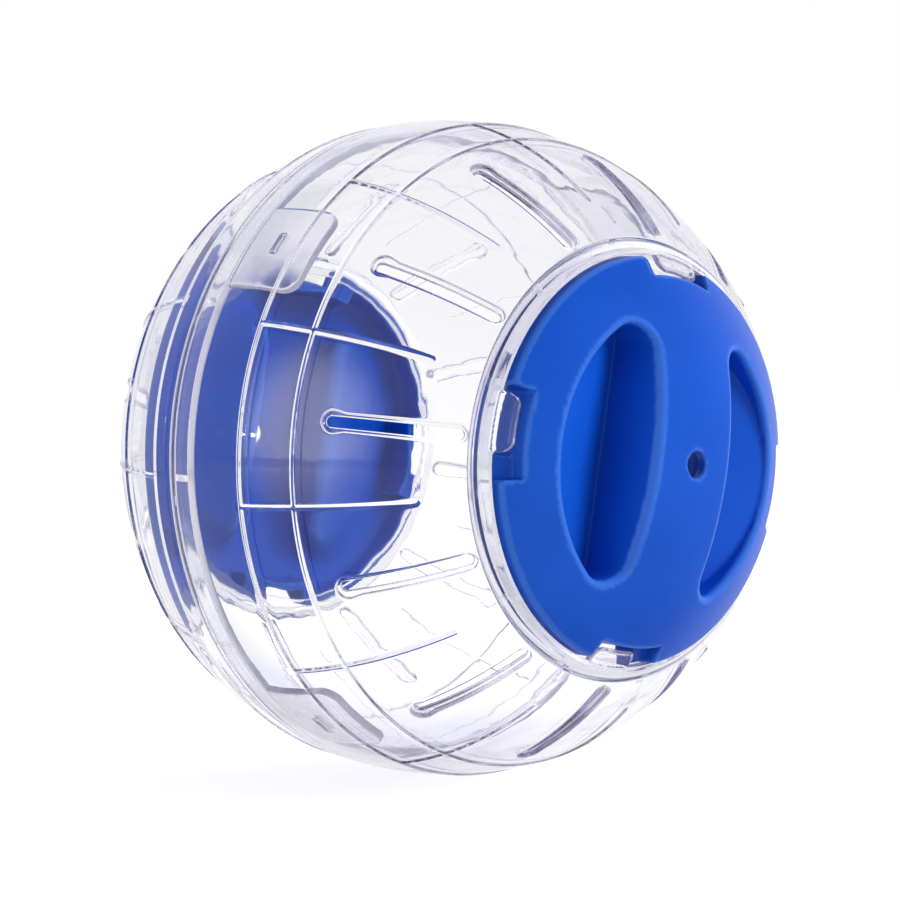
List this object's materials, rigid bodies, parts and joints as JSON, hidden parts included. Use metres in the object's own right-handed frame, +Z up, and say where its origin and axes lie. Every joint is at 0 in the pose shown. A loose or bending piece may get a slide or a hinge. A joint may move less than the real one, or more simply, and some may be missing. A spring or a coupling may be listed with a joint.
{
  "type": "hamster ball",
  "caption": "Clear hollow exercise ball for a small pet, in two halves that plug together, with air slots and a twist-lock lid at each pole.",
  "frame": {"origin": "centre of the ball, midway between the two lids on the line through their middles", "axes": "+X out through the middle of the front lid, +Z up, +Y completing a right-handed frame"},
  "size_m": [0.1214, 0.12, 0.12],
  "materials": {
    "clear_plastic": "clear, polished, with a faint lilac tint where it is seen edge on",
    "blue_plastic": "satin gloss, moulded, opaque blue"
  },
  "bodies": {
    "front_half": {"front_shell": "clear_plastic"},
    "rear_half": {"rear_shell": "clear_plastic"},
    "front_cap": {"front_lid": "blue_plastic"},
    "rear_cap": {"rear_lid": "blue_plastic"}
  },
  "joints": [
    {"name": "front_lid_lift", "type": "slide", "parent": "front_half", "child": "front_cap", "axis": [1, 0, 0], "range_m": [0, 0.035]},
    {"name": "halves_apart", "type": "slide", "parent": "front_half", "child": "rear_half", "axis": [-1, 0, 0], "range_m": [0, 0.03]},
    {"name": "rear_lid_twist", "type": "hinge", "parent": "rear_half", "child": "rear_cap", "pos_m": [-0.05, 0, 0], "axis": [1, 0, 0], "range_deg": [0, 7]}
  ]
}
